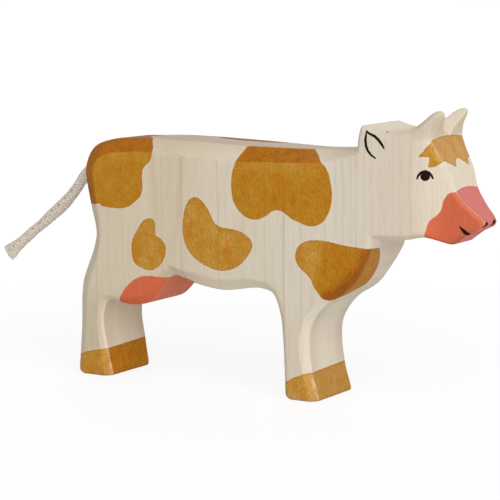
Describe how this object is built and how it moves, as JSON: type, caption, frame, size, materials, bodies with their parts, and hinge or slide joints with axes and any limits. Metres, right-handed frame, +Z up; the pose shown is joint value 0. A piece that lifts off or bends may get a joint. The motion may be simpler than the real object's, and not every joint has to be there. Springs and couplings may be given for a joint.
{
  "type": "wooden toy cow",
  "caption": "Flat-sawn wooden toy cow with bevelled edges, notched horns and narrowed muzzle, standing on thick leg blocks, with a glued-in cotton cord tail.",
  "frame": {"origin": "centre of the body's bounding box on the floor, between the hoof soles, without the cord tail", "axes": "+X towards the nose, +Y to the cow's left, +Z up"},
  "size_m": [0.1903, 0.027, 0.0955],
  "materials": {
    "maple": "fine-sanded maple with stained patches and matt varnish",
    "cotton_cord": "braided natural cotton",
    "wood_glue": "dried wood glue"
  },
  "bodies": {
    "cow": {"body": "maple", "tail_root": "cotton_cord", "tail_glue": "wood_glue"},
    "tail": {"tail_cord": "cotton_cord"}
  },
  "joints": [
    {"name": "tail_swing", "type": "hinge", "parent": "cow", "child": "tail", "pos_m": [-0.07547, 0, 0.0709], "axis": [0, 0, 1], "range_deg": [-60, 60], "stiffness_Nm_per_rad": 0.0025}
  ]
}
